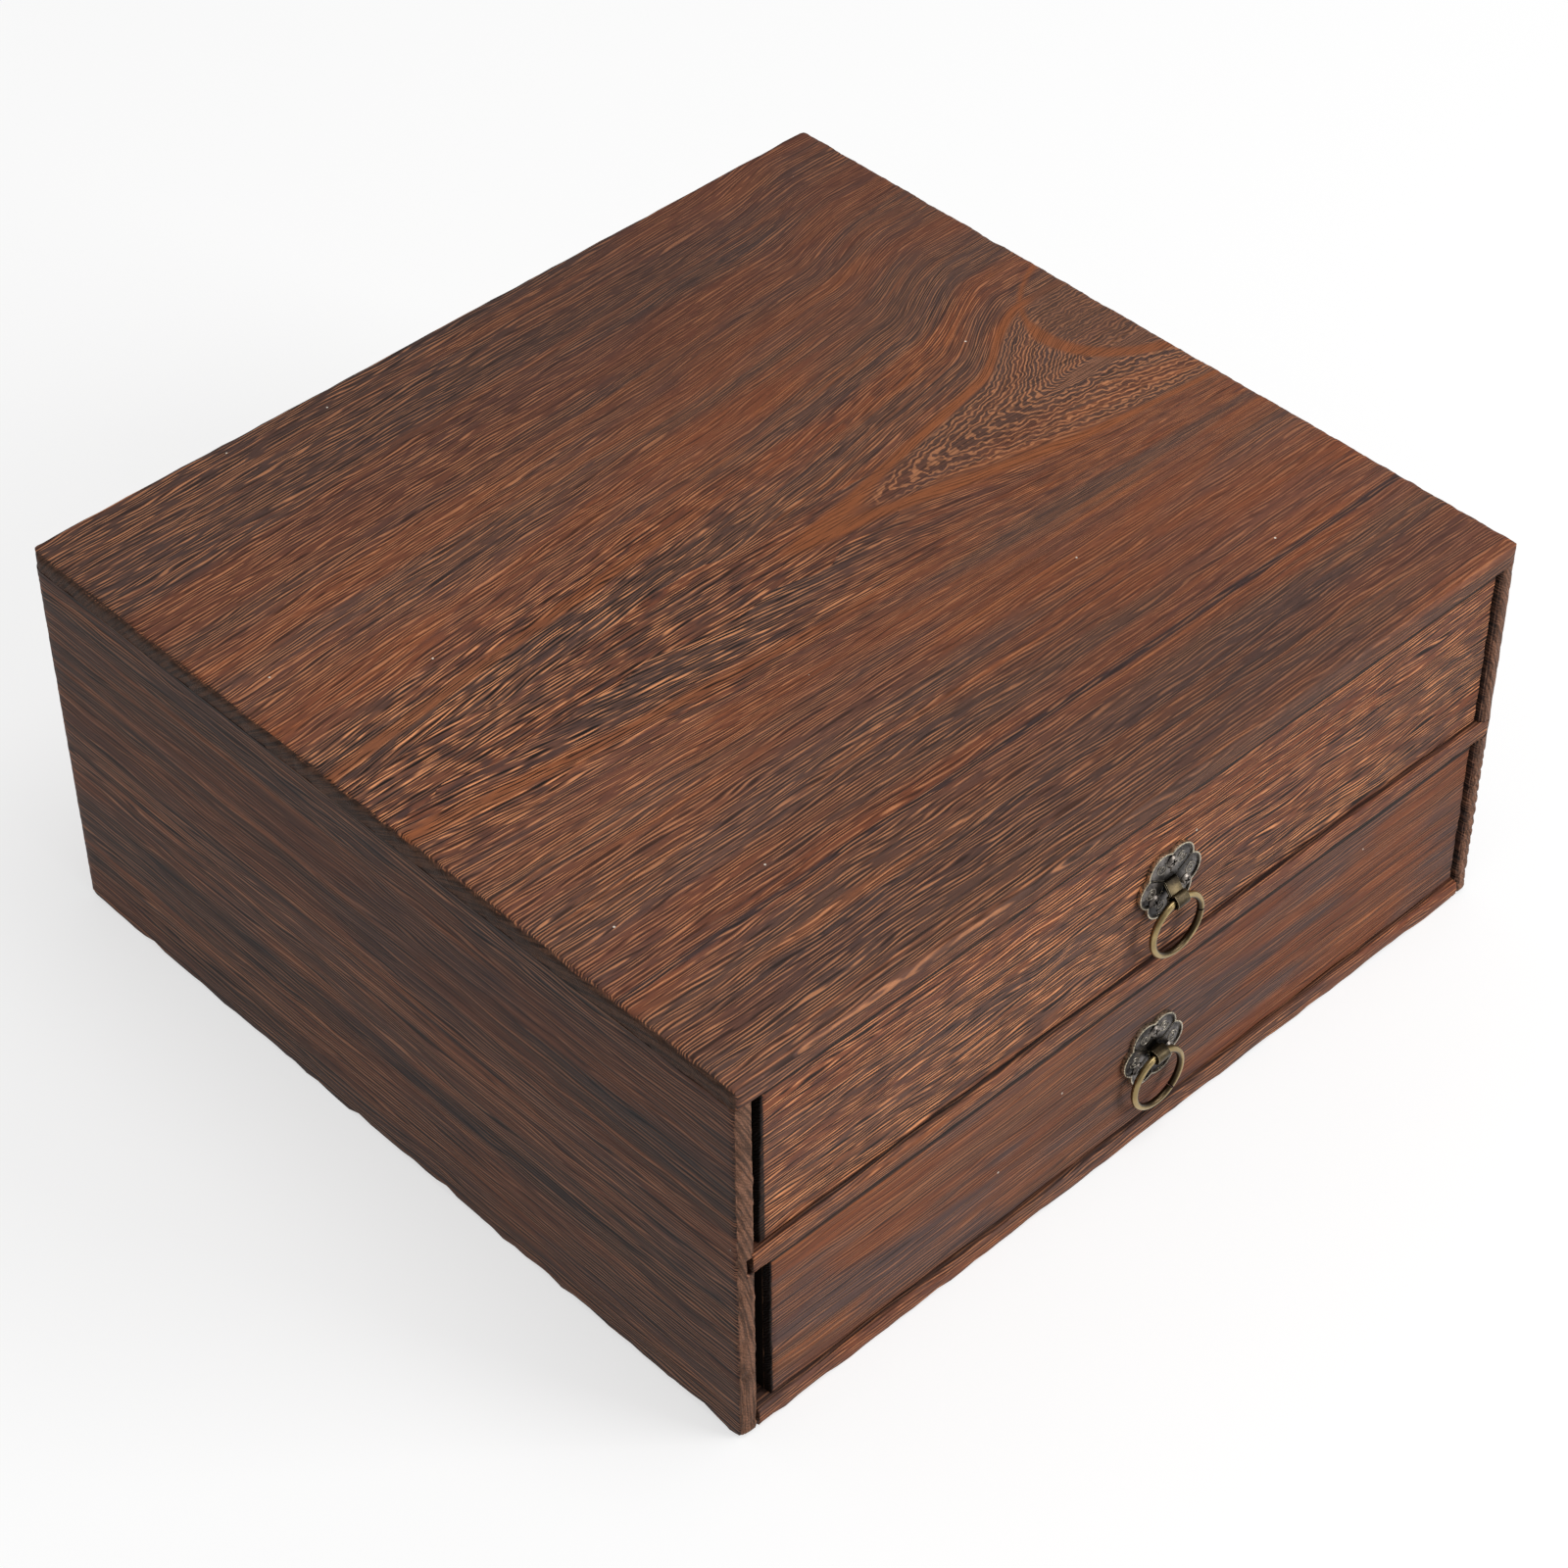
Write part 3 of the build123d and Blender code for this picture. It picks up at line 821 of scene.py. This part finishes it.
brassMarks = {  # where a mark starts and where it is in full, in mm unless a note says otherwise
    "wearAndHighlight": (0.42, 0.66),  # of the noise
    # the ring's painted highlight along its front, and the painted shade on its inside
    "ringFrontHighlight": (0.1, 1.1),
    "ringInsideShade": (-0.7, 0.0),
    "seam": (0.18, 0.34),
    # painted shadow where the strap leaves the plate
    "strapShadow": (-1.7, -0.5),
    "slotFacing": (0.35, 0.75),  # of the normal
    "rim": (0.2, 0.45),
    "rimReach": (5.0, 6.0),
    "valley": (0.1, 0.45),
    "centreShadowAndGrime": (2.2, 3.8),
    "rimHighlightNoise": (0.3, 0.6),  # of the noise
}
pullShape = {
    "wireRadius": 0.88 * mm,
    "ringRadius": 7.9 * mm,
    "seams": {"upper": 0.0, "lower": -52.0},  # degrees from the right
    "seamGap": 0.12 * mm,
    "wireSteps": 24,
    "ringSteps": 96,
    "bevels": {"strap": 0.09 * mm, "plate": 0.14 * mm, "screws": 0.1 * mm},
    "bevelFrom": 40,  # degrees between the two faces of an edge
    "sharpAngle": 35,
    "petals": 6,
    "petalCircle": 5.4 * mm,
    "petalRadius": 4.6 * mm,
    "petalDome": 0.32 * mm,  # how far a petal bulges between its rim and ribs
    "domeShare": 0.8,  # of the petal's radius
    "domeSteps": (32, 16),
    "plateThick": 0.8 * mm,
    "swirlCircle": 6.4 * mm,
    "swirlHeight": 0.9,  # share of the dome's height
    "swirlArcs": ((1.45 * mm, 0.0), (0.65 * mm, 180.0)),  # radius, and the angle it starts at
    "swirlWire": 0.17 * mm,
    "swirlTurn": 290,
    "swirlSides": 10,
    "swirlSteps": 20,
}


class Brass:  # a brass material in the making
    def __init__(self, name, finish):
        self.finish = finish
        self.material, self.tree = newMaterial(name)
        self.spot = [axis / mm for axis in coordinates(self.tree, "Object")]
        blotches = noiseAt(*(axis / 5 for axis in self.spot), 3.0, 0.5)
        self.grime = noiseAt(*(axis / 0.5 for axis in self.spot), 3.0, 0.6)
        low, high = (limit - finish.get("wear", 0.0) for limit in brassMarks["wearAndHighlight"])
        self.wearAndHighlight = smooth(blotches * 0.7 + self.grime * 0.3, low, high)

    def colour(self):
        return blend(self.wearAndHighlight, self.finish["patina"], self.finish["bright"])

    def finished(self, colour):
        bump = addNode(self.tree, "Bump", {"Strength": 0.25, "Distance": 0.04 * mm, "Height": self.grime})
        rough = self.finish["rough"] - 0.06 + self.grime * 0.15
        inputs = {"Base Color": colour, "Normal": bump.outputs[0], "Metallic": 1.0, "Roughness": rough}
        shader = addNode(self.tree, "BsdfPrincipled", inputs)
        addNode(self.tree, "OutputMaterial", {0: shader.outputs[0]})
        return self.material


def plainBrass(name, finish):
    brass = Brass(name, finish)
    return brass.finished(brass.colour())


def ringBrass(name, centre, seam):  # a painted highlight with some wear along its front, painted shade on its back and inside, dark at the seam
    brass = Brass(name, brasses["ring"])
    dx, dy, dz = (axis - middle / mm for axis, middle in zip(brass.spot, centre))
    reach = root(dx * dx + dz * dz) - pullShape["ringRadius"] / mm
    front = smooth(reach - dy + brass.grime * 0.5, *brassMarks["ringFrontHighlight"])
    # painted highlight on the front, kept off the inside, which stays dark as painted shade
    brass.wearAndHighlight = (brass.wearAndHighlight * 0.5 + front * 0.7) * smooth(reach, *brassMarks["ringInsideShade"])
    fromSeam = abs(dx * math.sin(seam) - dz * math.cos(seam))
    seamSide = (dx * math.cos(seam) + dz * math.sin(seam)).maths("GREATER_THAN", 0.0)
    seamMark = (1 - smooth(fromSeam, *brassMarks["seam"])) * seamSide
    return brass.finished(blend(seamMark, brass.colour(), brass.finish["deep"]))


def strapBrass(name, plateFace):  # painted shadow where the strap comes out of the plate
    brass = Brass(name, brasses["strap"])
    start, full = (plateFace / mm + step for step in brassMarks["strapShadow"])
    strapShadow = smooth(brass.spot[1], start, full) * 0.85
    return brass.finished(blend(strapShadow, brass.colour(), brass.finish["deep"]))


def slottedBrass(name):  # painted shade in the cross slots and round the head
    brass = Brass(name, brasses["screw"])
    facing = abs(coordinates(brass.tree, "Normal")[1])
    slotShade = 1 - smooth(facing, *brassMarks["slotFacing"])
    return brass.finished(blend(slotShade, brass.colour(), brass.finish["deep"]))


def plateBrass(name, centre):  # a painted highlight along the petals' outline, dark where two petals meet, and painted shadow with grime at the centre
    shape = pullShape
    brass = Brass(name, brasses["plate"])
    dx = brass.spot[0] - centre[0] / mm
    dz = brass.spot[2] - centre[2] / mm
    reach = root(dx * dx + dz * dz)
    sector = math.tau / shape["petals"]
    angle = dz.maths("ARCTAN2", dx)
    folded = angle - (angle / sector).maths("ROUND") * sector
    alongPetal = reach * folded.maths("COSINE") - shape["petalCircle"] / mm
    acrossPetal = reach * folded.maths("SINE")
    toOutline = shape["petalRadius"] / mm - root(alongPetal * alongPetal + acrossPetal * acrossPetal)
    toValley = reach * (sector / 2 - abs(folded)).maths("SINE")
    # painted highlight along the outline, and painted shadow with grime at the centre
    rim = (1 - smooth(toOutline, *brassMarks["rim"])) * smooth(reach, *brassMarks["rimReach"])
    centreShadowAndGrime = 1 - smooth(reach, *brassMarks["centreShadowAndGrime"])
    valley = (1 - smooth(toValley, *brassMarks["valley"])).maths("MAXIMUM", centreShadowAndGrime) * (1 - rim)
    colour = blend(valley * 0.85, brass.colour(), brass.finish["deep"])
    rimHighlight = rim * smooth(brass.grime, *brassMarks["rimHighlightNoise"])
    return brass.finished(blend(rimHighlight, colour, brass.finish["rim"]))


swirlBrass = plainBrass("swirl_brass", brasses["swirl"])
screwBrass = slottedBrass("screw_brass")
edgeWearAndHighlightBrass = plainBrass("edge_wear_and_highlight_brass", brasses["wearAndHighlight"])


# Ring pulls
def roundedCopy(node, width):  # its rounded edges take the second material
    bm = mergedCopy(node)
    least = math.radians(pullShape["bevelFrom"])
    sharp = [e for e in bm.edges if e.is_manifold and e.calc_face_angle(0.0) > least]
    made = bmesh.ops.bevel(
        bm, geom=sharp, offset=width, segments=2, profile=0.5, affect="EDGES", material=-1,
        clamp_overlap=True,
    )
    for face in made["faces"]:
        face.material_index = 1
    triangulateLarge(bm)
    return bm


def bendWire(bm, centre, start, reach, wire, turn):  # a round wire on an arc that starts at a direction
    sides, radius, steps = wire
    forward = Vector((0, 1, 0))
    made = bmesh.ops.create_circle(bm, cap_ends=True, segments=sides, radius=radius)
    verts = made["verts"]
    upright = Matrix((start, forward, start.cross(forward))).transposed().to_4x4()
    place = Matrix.Translation(centre + start * reach) @ upright
    bmesh.ops.transform(bm, matrix=place, verts=verts)
    edges = list(dict.fromkeys(e for v in verts for e in v.link_edges))
    faces = list(dict.fromkeys(f for v in verts for f in v.link_faces))
    bmesh.ops.spin(
        bm, geom=verts + edges + faces, cent=centre, axis=-forward, angle=turn, steps=steps,
        use_merge=False,
    )


def ringPiece(centre, seam):
    shape = pullShape
    bm = bmesh.new()
    start = Vector((math.cos(seam), 0, math.sin(seam)))
    wire = (shape["wireSteps"], shape["wireRadius"], shape["ringSteps"])
    turn = math.tau - shape["seamGap"] / shape["ringRadius"]
    bendWire(bm, centre, start, shape["ringRadius"], wire, turn)
    bmesh.ops.recalc_face_normals(bm, faces=bm.faces)
    return bm


def petalDirections():
    for i in range(pullShape["petals"]):
        angle = math.tau * i / pullShape["petals"]
        yield Vector((math.cos(angle), 0, math.sin(angle)))


def petalDomes(middle):
    shape = pullShape
    bm = bmesh.new()
    wide = shape["petalRadius"] * shape["domeShare"]
    size = Matrix.Diagonal((wide, shape["petalDome"], wide, 1.0))
    for outward in petalDirections():
        around, upwards = shape["domeSteps"]
        made = bmesh.ops.create_uvsphere(bm, u_segments=around, v_segments=upwards, radius=1.0)
        place = Matrix.Translation(middle + outward * shape["petalCircle"]) @ size
        bmesh.ops.transform(bm, matrix=place, verts=made["verts"])
    return bm


def swirls(middle):
    shape = pullShape
    bm = bmesh.new()
    wire = (shape["swirlSides"], shape["swirlWire"], shape["swirlSteps"])
    lift = Vector((0, shape["petalDome"] * shape["swirlHeight"], 0))
    for outward in petalDirections():
        centre = middle + outward * shape["swirlCircle"] - lift
        for radius, startAngle in shape["swirlArcs"]:
            start = Matrix.Rotation(math.radians(startAngle), 3, "Y") @ outward
            bendWire(bm, centre, start, radius, wire, math.radians(shape["swirlTurn"]))
    bmesh.ops.recalc_face_normals(bm, faces=bm.faces)
    return bm


def addPiece(name, bm, materials, body, replaced=None):
    piece = newPiece(name, bm, materials, pullShape["sharpAngle"])
    if replaced:
        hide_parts(replaced)
    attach(piece, body)


def ringPull(name, seam):
    drawer = name + "_drawer"
    ring = name + "_pull_ring"
    low, high = (Vector(limit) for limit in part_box(ring))
    centre = (low + high) / 2
    brass = ringBrass(name + "_ring_brass", centre, seam)
    addPiece(name + "_ring", ringPiece(centre, seam), [brass], name + "_ring", ring)

    low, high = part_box(name + "_pull_plate")
    faceY = high[1] - pullShape["plateThick"]
    middle = Vector(((low[0] + high[0]) / 2, faceY, (low[2] + high[2]) / 2))
    plate = plateBrass(name + "_plate_brass", middle)
    strap = strapBrass(name + "_strap_brass", middle.y)
    for part, materials, slot in (
        ("plate", [plate, edgeWearAndHighlightBrass], "plate_brass"),
        ("strap", [strap, edgeWearAndHighlightBrass], "ring_brass"),
        ("screws", [screwBrass, screwBrass], "screw_brass"),
    ):
        node = f"{name}_pull_{part}"
        copy = roundedCopy(node, pullShape["bevels"][part])
        addPiece(f"{name}_{part}", copy, materials, drawer, node)
    addPiece(name + "_petals", petalDomes(middle), [plate], drawer)
    addPiece(name + "_swirls", swirls(middle), [swirlBrass], drawer)
    print("pull", name)


for name, seam in pullShape["seams"].items():
    ringPull(name, math.radians(seam))


# Stage, light and camera
stage = {"floorSize": 12.0, "floorColour": 0.42, "cameraGlow": 0.62, "skyLight": 0.4}
lights = {
    "keyLight": {"place": (1.0, -1.6, 0.95), "size": 1.0, "watts": 23.5},
    "topLight": {"place": (0.15, -0.45, 1.9), "size": 1.0, "watts": 12.0},
}
camera = {
    "azimuth": -43.3484,
    "elevation": 42.8018,
    "roll": -0.4760,
    "place": (-0.4853, -0.5169, 0.69215),
    "lens": 90.70,
    "sensor": 36.0,
}


def seenDirectly(tree, *kinds):  # 1 for camera rays and for rays of these kinds
    paths = addNode(tree, "LightPath").outputs
    share = Wire(tree, paths["Is Camera Ray"])
    for kind in kinds:
        share = share.maths("MAXIMUM", paths[f"Is {kind} Ray"])
    return share


def addFloor():
    bm = bmesh.new()
    bmesh.ops.create_grid(bm, x_segments=1, y_segments=1, size=stage["floorSize"] / 2)
    mesh = bpy.data.meshes.new("floor")
    bm.to_mesh(mesh)
    bm.free()
    floor = addObject("floor", mesh)
    material, tree = newMaterial("pale_floor")
    strength = seenDirectly(tree, "Glossy", "Transmission") * stage["cameraGlow"]
    pale = addNode(tree, "BsdfDiffuse", {"Color": (stage["floorColour"],) * 3 + (1.0,)})
    glow = addNode(tree, "Emission", {"Strength": strength})
    both = addNode(tree, "AddShader", {0: pale.outputs[0], 1: glow.outputs[0]})
    addNode(tree, "OutputMaterial", {0: both.outputs[0]})
    mesh.materials.append(material)


def addSky():
    world = bpy.data.worlds.new("studio")
    bpy.context.scene.world = world
    world.use_nodes = True
    tree = world.node_tree
    tree.nodes.clear()
    strength = stage["skyLight"] + seenDirectly(tree, "Transmission") * (1 - stage["skyLight"])
    sky = addNode(tree, "Background", {"Color": (1.0, 1.0, 1.0, 1.0), "Strength": strength})
    addNode(tree, "OutputWorld", {0: sky.outputs[0]})


def addLight(name, lamp):
    data = bpy.data.lights.new(name, "AREA")
    data.shape = "SQUARE"
    data.size = lamp["size"]
    data.energy = lamp["watts"]
    light = addObject(name, data)
    light.location = lamp["place"]
    light.rotation_euler = (-Vector(lamp["place"])).to_track_quat("-Z", "Y").to_euler()


def addCamera():
    azimuth, elevation, roll = (math.radians(camera[key]) for key in ("azimuth", "elevation", "roll"))
    level = math.cos(elevation)
    back = Vector((math.sin(azimuth) * level, -math.cos(azimuth) * level, math.sin(elevation)))
    right = (-back).cross(Vector((0, 0, 1))).normalized()
    up = right.cross(-back)
    tiltedRight = right * math.cos(roll) + up * math.sin(roll)
    tiltedUp = up * math.cos(roll) - right * math.sin(roll)
    data = bpy.data.cameras.new("camera")
    data.lens = camera["lens"]
    data.sensor_width = camera["sensor"]
    view = addObject("camera", data)
    turn = Matrix((tiltedRight, tiltedUp, back)).transposed().to_4x4()
    view.matrix_world = Matrix.Translation(Vector(camera["place"])) @ turn
    bpy.context.scene.camera = view
    bpy.context.scene.view_settings.view_transform = "Standard"


addFloor()
addSky()
for name, lamp in lights.items():
    addLight(name, lamp)
addCamera()
print("stage, light and camera done")

bpy.context.view_layer.update()
